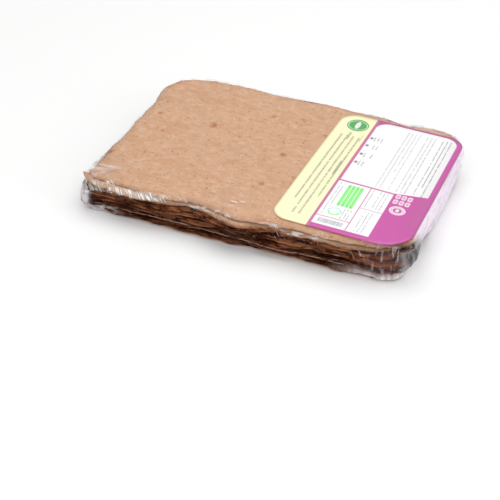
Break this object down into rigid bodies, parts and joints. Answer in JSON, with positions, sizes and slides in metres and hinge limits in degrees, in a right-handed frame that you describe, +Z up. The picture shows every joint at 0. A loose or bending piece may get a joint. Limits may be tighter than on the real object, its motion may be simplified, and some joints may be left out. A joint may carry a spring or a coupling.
{
  "type": "oat crispbread",
  "caption": "Flat rounded stack of thin wavy crispbread sheets, shrink-wrapped in clear film with a printed card on each broad side.",
  "frame": {"origin": "middle of the flat underside on which the pack rests", "axes": "+X along the pack's length, +Y towards the side with the card's flap, +Z up through the stack"},
  "size_m": [0.2847, 0.2168, 0.034],
  "materials": {
    "bread": "dry baked crust, rough",
    "back_card": "printed card under film",
    "front_card": "printed card under film",
    "film": "clear shrink film"
  },
  "bodies": {
    "root": {"bread_sheet_1": "bread", "bread_sheet_2": "bread", "bread_sheet_3": "bread", "bread_sheet_4": "bread", "bread_sheet_5": "bread", "bread_sheet_6": "bread", "bread_sheet_7": "bread", "back_card": "back_card", "front_card": "front_card", "film_wrap": "film"}
  },
  "joints": []
}
